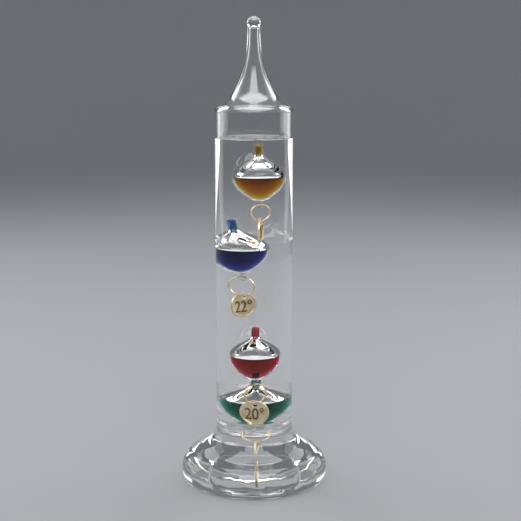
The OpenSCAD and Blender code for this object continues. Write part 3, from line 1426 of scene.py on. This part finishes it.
    def numerals(self) -> bpy.types.Mesh:
        """Makes the raised numerals of one face, in a darker brown than the disc.

        Returns:
            The numerals' mesh, standing on the tag's front face.
        """
        t = self.tag_sizes
        text = bpy.data.curves.new("numerals", "FONT")
        text.body = f"{self.number}\N{DEGREE SIGN}"
        text.size = t.numeral_size
        text.align_x = "CENTER"
        text.align_y = "CENTER"
        text.offset = t.numeral_swell
        text.extrude = t.relief
        text.bevel_depth = t.numeral_bevel
        text.bevel_resolution = 1
        text.resolution_u = 6
        holder = bpy.data.objects.new("numerals", text)
        bpy.context.scene.collection.objects.link(holder)
        mesh = bpy.data.meshes.new_from_object(holder.evaluated_get(bpy.context.evaluated_depsgraph_get()))
        bpy.data.objects.remove(holder)
        shape = bmesh.new()
        shape.from_mesh(mesh)
        bmesh.ops.remove_doubles(shape, verts=shape.verts, dist=0.001)
        shape.to_mesh(mesh)
        shape.free()
        mesh.transform(Matrix.Diagonal((t.numeral_narrowing * MM, MM, MM, 1)))
        mesh.transform(Matrix.Translation((0, -t.numeral_drop * MM, t.sheet / 2 * MM)))
        mesh.materials.clear()
        mesh.materials.append(self.dressing.brown_numeral)
        face_outwards(mesh, TAG_CORNER)
        return mesh

    def make(self) -> None:
        """Makes every piece of the float."""
        self.bulb()
        self.dye()
        self.seal()
        self.ring()
        self.tag()


def close_with_meniscus(shape: bmesh.types.BMesh, creep: float) -> None:
    """Closes a cut liquid with a surface that is level in the middle and creeps up the wall at its edge.

    Args:
        shape: The liquid, open at its top, in its place.
        creep: How far it creeps up, in metres.
    """
    open_top = shape.faces.layers.float.new("open_surface")
    edge = list({v for e in shape.edges if e.is_boundary for v in e.verts})
    middle = sum((v.co for v in edge), Vector()) / len(edge)
    edge.sort(key=lambda v: math.atan2(v.co.y - middle.y, v.co.x - middle.x))
    reach = [v.co - middle for v in edge]
    made = []
    outer = edge
    for share in (0.985, 0.965, 0.94, 0.9, 0.84, 0.75, 0.6, 0.35):
        ring = []
        for out in reach:
            fall = creep * (1 - math.exp((share - 1) * out.length / creep))
            ring.append(shape.verts.new(middle + out * share - Vector((0, 0, fall))))
        for k, v in enumerate(outer):
            n = (k + 1) % len(outer)
            made.append(shape.faces.new((v, outer[n], ring[n], ring[k])))
        outer = ring
    centre = shape.verts.new(middle - Vector((0, 0, creep)))
    for k, v in enumerate(outer):
        made.append(shape.faces.new((v, outer[(k + 1) % len(outer)], centre)))
    for f in made:
        f[open_top] = 1.0
        f.smooth = True
    bmesh.ops.recalc_face_normals(shape, faces=shape.faces)


# ---------------------------------------------------------------- the studio


@dataclass(frozen=True)
class Softbox:
    """A studio lamp: a lit rectangle, in metres. A flagged lamp is shaded from the floor."""

    name: str
    place: tuple[float, float, float]
    faces: tuple[float, float, float]
    width: float
    tall: float
    radiance: float
    flagged: bool = False

    def make(self, unlit: bpy.types.Collection) -> None:
        """Puts the lamp in the scene.

        Args:
            unlit: What a flagged lamp doesn't light.
        """
        lamp = bpy.data.lights.new(self.name, "AREA")
        lamp.shape = "RECTANGLE"
        lamp.size = self.width
        lamp.size_y = self.tall
        lamp.energy = self.radiance * math.pi * self.width * self.tall
        holder = bpy.data.objects.new(self.name, lamp)
        bpy.context.scene.collection.objects.link(holder)
        holder.location = self.place
        holder.rotation_euler = (Vector(self.faces) - holder.location).to_track_quat("-Z", "Y").to_euler()
        holder.visible_camera = False
        if self.flagged:
            holder.light_linking.receiver_collection = unlit


def in_pair(
    name: str,
    place: tuple[float, float, float],
    faces: tuple[float, float, float],
    *sizes: float,
    flagged: bool = False,
) -> list[Softbox]:
    """Makes a lamp for each side of the studio, left one first.

    Args:
        name: What both are named for.
        place: Where the right one stands.
        faces: What the right one is turned to.
        sizes: Their width, their height and their radiance.
        flagged: Whether they are shaded from the floor.

    Returns:
        The two lamps.
    """
    return [
        Softbox(
            f"{side}_{name}",
            (way * place[0], *place[1:]),
            (way * faces[0], *faces[1:]),
            *sizes,
            flagged=flagged,
        )
        for side, way in (("left", -1), ("right", 1))
    ]


@dataclass
class Studio:
    """The floor, its backdrop, the lamps and the camera."""

    plain: Lathe
    height: float = BOUNDS_AT_START[1][2] - BOUNDS_AT_START[0][2]
    distance_share: float = 2.379
    camera_share: float = 0.917
    pitch: float = 10.28
    lens: float = 77.75
    aside: float = 2.5 * MM

    def lamps(self) -> list[Softbox]:
        """Lists the lamps.

        Returns:
            The lamps.
        """
        # The strips draw the tube's white edges, and the overhead box whitens the domes of the floats
        return [
            *in_pair(
                "strip", (0.60, 0.47, 0.085), (-0.20, 0.93, 0.085), 0.92, 0.11, 1.6, flagged=True
            ),
            *in_pair("box", (0.44, 0.16, 0.34), (0.0, 0.0, 0.34), 0.18, 0.40, 1.4),
            Softbox(
                "overhead_box", (0.0, -0.06, 0.90), (0.0, 0.0, 0.0), 0.90, 0.80, 4.5, flagged=True
            ),
            Softbox("front_window", (0.0, -0.75, 0.88), (0.0, 0.0, 0.12), 0.80, 0.50, 4.5),
            *in_pair("rim", (0.45, 0.45, 0.50), (0.0, 0.0, 0.12), 0.30, 0.36, 3.0),
        ]

    def backdrop(self) -> bpy.types.Collection:
        """Makes the floor and the sweep that rises all round it.

        Returns:
            A collection that keeps a lamp's light off the floor.
        """
        paint = PaintedBoard("pale_matt_board", "#c2c4c7").build()
        flat, rise, top = 1300, 700, 1800
        sweep = arc((flat, rise), rise, -90, 0, 24)
        outline = Outline().run([(0, -0.02)] + [(r, z - 0.02) for r, z in sweep] + [(flat + rise, top)])
        outline.run([(flat + rise + 20, top), (flat + rise + 20, -40), (0, -40)])
        mesh = self.plain.turn("floor", outline, [paint], FLOOR_SEGMENTS)
        floor = bpy.data.objects.new("floor", mesh)
        bpy.context.scene.collection.objects.link(floor)
        unlit = bpy.data.collections.new("unlit_floor")
        unlit.objects.link(floor)
        unlit.collection_objects[0].light_linking.link_state = "EXCLUDE"
        return unlit

    def camera(self) -> None:
        """Stands the camera at the height and distance of a table-top view."""
        seen = bpy.data.cameras.new("camera")
        seen.lens = self.lens
        seen.clip_start = 0.01
        holder = bpy.data.objects.new("camera", seen)
        bpy.context.scene.collection.objects.link(holder)
        holder.location = (self.aside, -self.distance_share * self.height, self.camera_share * self.height)
        holder.rotation_euler = (math.radians(90 - self.pitch), 0, 0)
        bpy.context.scene.camera = holder

    def make(self) -> None:
        """Sets up the whole studio."""
        scene = bpy.context.scene
        unlit = self.backdrop()
        for lamp in self.lamps():
            lamp.make(unlit)
        world = bpy.data.worlds.new("studio_air")
        world.use_nodes = True
        world.node_tree.nodes["Background"].inputs["Color"].default_value = linear("#c8ccd2")
        world.node_tree.nodes["Background"].inputs["Strength"].default_value = 0.5
        scene.world = world
        self.camera()
        scene.view_settings.view_transform = "Standard"
        scene.cycles.max_bounces = 32
        scene.cycles.transmission_bounces = 32
        scene.cycles.glossy_bounces = 8
        scene.cycles.transparent_max_bounces = 48
        scene.cycles.caustics_reflective = False
        scene.cycles.caustics_refractive = False
        scene.cycles.use_denoising = True


# ---------------------------------------------------------------- the whole


# What each dye looks like through the depth of a bulb
DYE_COLOURS = {Tint.YELLOW: "#ba6c02", Tint.BLUE: "#020a64", Tint.RED: "#92080f", Tint.GREEN: "#01563e"}
SEAL_COLOURS = {
    Tint.YELLOW: ("#c8a818", "#8a7010"),
    Tint.BLUE: ("#2a80cc", "#0c4686"),
    Tint.RED: ("#d03030", "#8a141c"),
    Tint.GREEN: ("#109068", "#085240"),
}
NUMBERS = {Tint.YELLOW: "24", Tint.BLUE: "22", Tint.RED: "20", Tint.GREEN: "18"}


def glass_set(
    working: str, wave_mm: float, wave_height_mm: float, stretch: float, fused: bpy.types.Material
) -> list[bpy.types.Material]:
    """Makes one working of glass as it looks against air, filling and dye, and where it is fused.

    Args:
        working: How the glass was worked.
        wave_mm: How far apart its waves are.
        wave_height_mm: How high they are.
        stretch: How much longer than wide they are.
        fused: The material of fused faces.

    Returns:
        The materials, in the zones' order.
    """
    outside = {"in_air": 1.0, "in_filling": FILLING_IOR, "on_dye": DYE_IOR}
    return [
        ClearGlass(f"{working}_glass_{name}", GLASS_IOR / ior, wave_mm, wave_height_mm, stretch).build()
        for name, ior in outside.items()
    ] + [fused]


def main() -> None:
    """Builds the glass body, its filling, the floats and the studio, in that order."""
    logging.basicConfig(level=logging.INFO, format="%(name)s: %(message)s")
    # Fused glass: no line at all, so that tube and foot look like one glass
    fused = PassThrough("fused_glass").build()
    # Drawn glass: long faint streaks, which make the tube's edge lines waver a little
    drawn = glass_set("drawn", 3.0, 0.004, 14.0, fused)
    # Moulded glass: broad soft waves, which break the foot's highlights into pools
    moulded = glass_set("moulded", 5.0, 0.06, 1.0, fused)
    # Blown glass: nearly even, with crisp white highlights on the domes
    blown = glass_set("blown", 7.0, 0.004, 1.0, fused)
    # Clear liquid: nothing where it wets the wall, and a bright broken band at its open top
    open_top = ClearGlass("liquid_in_air", FILLING_IOR, 2.2, 0.25, 1.0).build()
    liquid = [PassThrough("liquid_on_glass").build(), open_top]
    # Drawn brass wire: a thin pale gold line. Stamped brass: a satin gold disc with faint patches
    wire = Brass("drawn_brass_wire", Working.DRAWN).build()
    stamped = Brass("stamped_brass", Working.STAMPED).build()
    # Numeral brass: a darker brown than the disc, so that the numerals stand out from it
    brown_numeral = Brass("toned_stamped_brass", Working.STAMPED, "#8a6c3a", "#5e451f", 0.4).build()
    glass_lathe, liquid_lathe, plain_lathe = Lathe(len(Zone)), Lathe(len(LiquidZone)), Lathe(1)
    bender = WireRing()
    body = GlassBody(glass_lathe, drawn, moulded)
    body.make()
    Filling(body, liquid_lathe, liquid).make()
    for tint in Tint:
        # Dyed spirit: clear deep colour, paler at its thin edges
        dye = DyedLiquid(f"{tint.value}_dyed_spirit", DYE_COLOURS[tint]).build()
        # Sealing resin: cloudy colour with a little light in it
        seal = SealResin(f"{tint.value}_sealing_resin", *SEAL_COLOURS[tint]).build()
        dressing = Dressing(blown, dye, seal, wire, stamped, brown_numeral)
        Float(tint, NUMBERS[tint], glass_lathe, plain_lathe, bender, dressing).make()
    Studio(plain_lathe).make()


if __name__ == "__main__":
    main()
